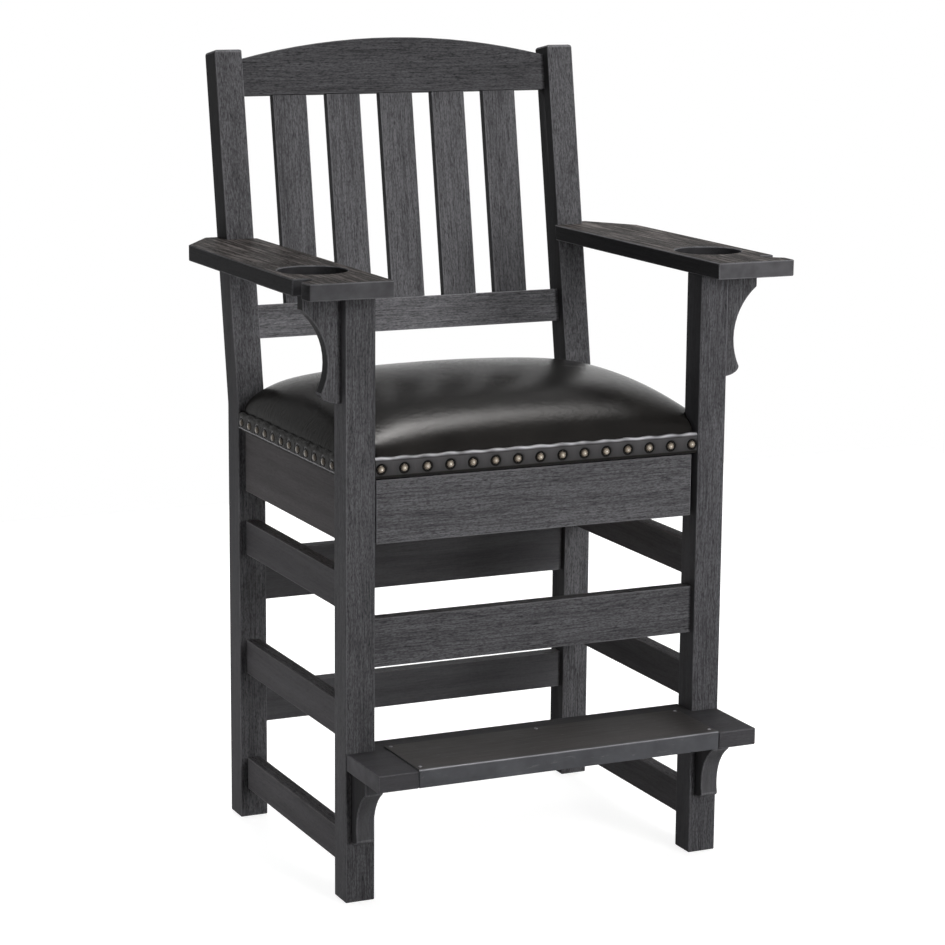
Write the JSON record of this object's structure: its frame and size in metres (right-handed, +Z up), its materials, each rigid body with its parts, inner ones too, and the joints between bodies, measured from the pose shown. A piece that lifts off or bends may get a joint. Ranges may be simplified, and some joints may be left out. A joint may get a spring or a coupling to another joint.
{
  "type": "spectator chair",
  "caption": "Tall wooden spectator chair with a leaning slatted back, broad arms with cup recesses and cue notches, a padded leather seat over a drawer, and a plated footrest.",
  "frame": {"origin": "on the floor, at the middle of the chair's box", "axes": "+Z up, the chair faces -Y, +X to the right seen from the front"},
  "size_m": [0.746, 0.667, 1.1832],
  "materials": {
    "stained_wood": "charcoal stain with open dark pores and a satin lacquer",
    "drawer_wood": "plain sanded hardwood",
    "plywood": "plain sanded plywood",
    "leather": "smooth black leather with a soft gloss",
    "plate_metal": "dark bronze plate with fine scuffs",
    "screw_steel": "zinc plated",
    "glide_plastic": "moulded",
    "nail_metal": "antique nickel over brass, domed and polished"
  },
  "bodies": {
    "chair_frame": {"arm_corbel_left": "stained_wood", "arm_corbel_right": "stained_wood", "arm_dowel_left": "drawer_wood", "arm_dowel_right": "drawer_wood", "arm_left": "stained_wood", "arm_right": "stained_wood", "back_leg_left": "stained_wood", "back_leg_right": "stained_wood", "back_slat_1": "stained_wood", "back_slat_2": "stained_wood", "back_slat_3": "stained_wood", "back_slat_4": "stained_wood", "back_slat_5": "stained_wood", "back_stretcher_lower": "stained_wood", "back_stretcher_upper": "stained_wood", "corner_block_left": "drawer_wood", "corner_block_right": "drawer_wood", "crest_rail": "stained_wood", "drawer_runner_left": "drawer_wood", "drawer_runner_right": "drawer_wood", "drawer_stop": "drawer_wood", "footrest_board": "stained_wood", "footrest_bracket_left": "stained_wood", "footrest_bracket_right": "stained_wood", "footrest_dowel_left": "drawer_wood", "footrest_dowel_right": "drawer_wood", "footrest_plate": "plate_metal", "front_leg_left": "stained_wood", "front_leg_right": "stained_wood", "front_stretcher": "stained_wood", "leg_glide_back_left": "glide_plastic", "leg_glide_back_right": "glide_plastic", "leg_glide_front_left": "glide_plastic", "leg_glide_front_right": "glide_plastic", "lower_back_rail": "stained_wood", "seat_band_back": "leather", "seat_band_front": "leather", "seat_band_left": "leather", "seat_band_right": "leather", "seat_board": "plywood", "seat_cleat_left": "drawer_wood", "seat_cleat_right": "drawer_wood", "seat_cushion": "leather", "seat_rail_back": "stained_wood", "seat_rail_left": "stained_wood", "seat_rail_right": "stained_wood", "seat_screw_left": "screw_steel", "seat_screw_right": "screw_steel", "side_stretcher_lower_left": "stained_wood", "side_stretcher_lower_right": "stained_wood", "side_stretcher_middle_left": "stained_wood", "side_stretcher_middle_right": "stained_wood", "side_stretcher_upper_left": "stained_wood", "side_stretcher_upper_right": "stained_wood"},
    "drawer": {"drawer_back": "drawer_wood", "drawer_bottom": "plywood", "drawer_front": "stained_wood", "drawer_side_left": "drawer_wood", "drawer_side_right": "drawer_wood"}
  },
  "joints": [
    {"name": "drawer_slide", "type": "slide", "parent": "chair_frame", "child": "drawer", "axis": [0, -1, 0], "range_m": [0, 0.25]}
  ]
}
